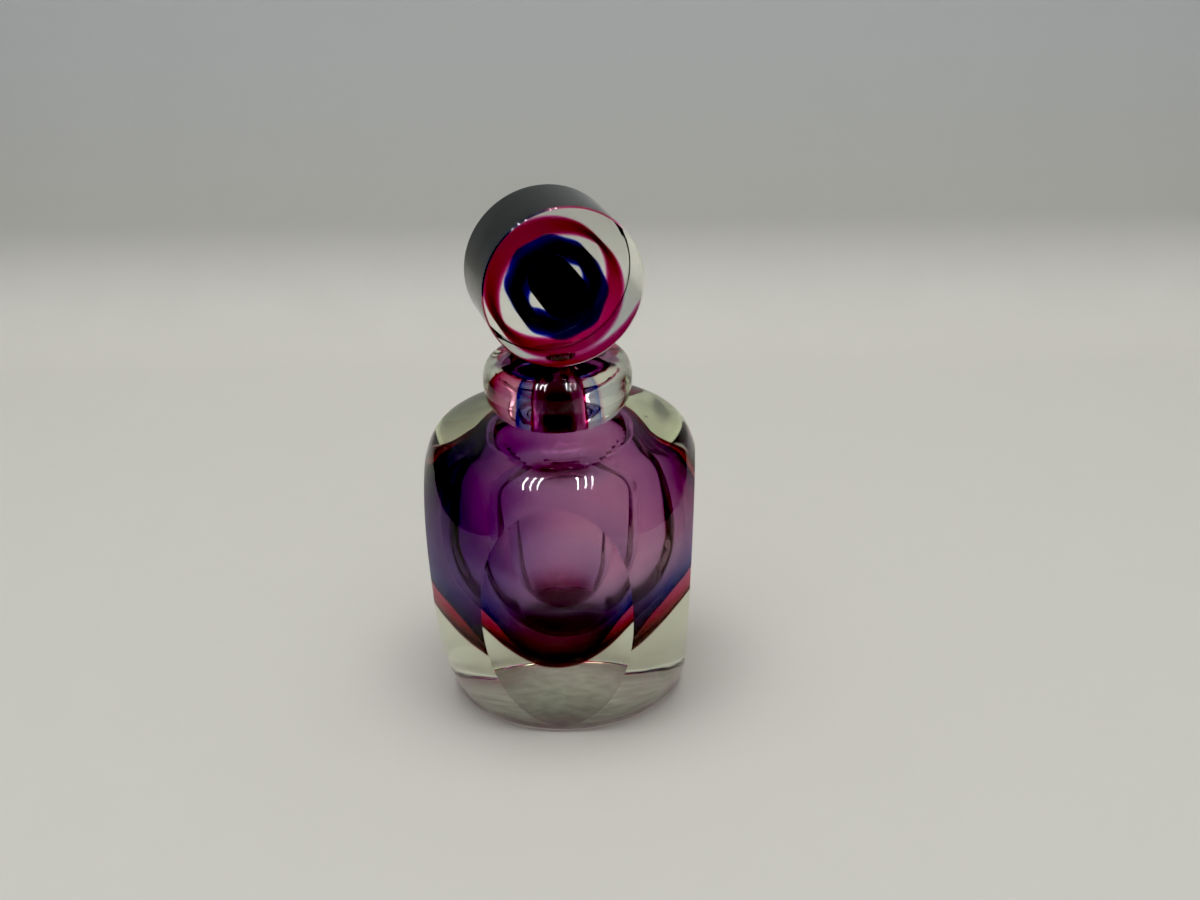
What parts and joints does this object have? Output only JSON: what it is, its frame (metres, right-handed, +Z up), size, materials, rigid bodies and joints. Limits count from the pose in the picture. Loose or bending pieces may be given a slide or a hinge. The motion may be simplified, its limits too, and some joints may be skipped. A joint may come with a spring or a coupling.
{
  "type": "glass perfume bottle",
  "caption": "Heavy cased-glass perfume bottle, a round body with polished flats, a bulging neck collar and a thick round disc stopper with concentric rings.",
  "frame": {"origin": "middle of the foot, on the surface the bottle stands on", "axes": "+Z up through the neck and the stopper, -Y towards the front flat, +X to the right of a person facing the front"},
  "size_m": [0.0934, 0.0934, 0.1805],
  "materials": {
    "bottle_glass": "clear polished outer casing",
    "stopper_glass": "clear polished casing",
    "cranberry_glass": "transparent cranberry red layer sealed in the clear glass",
    "cobalt_glass": "transparent cobalt blue layer sealed in the clear glass",
    "black_glass": "opaque black core sealed in the clear glass"
  },
  "bodies": {
    "root": {"bottle": "bottle_glass", "stopper": "stopper_glass"}
  },
  "joints": []
}
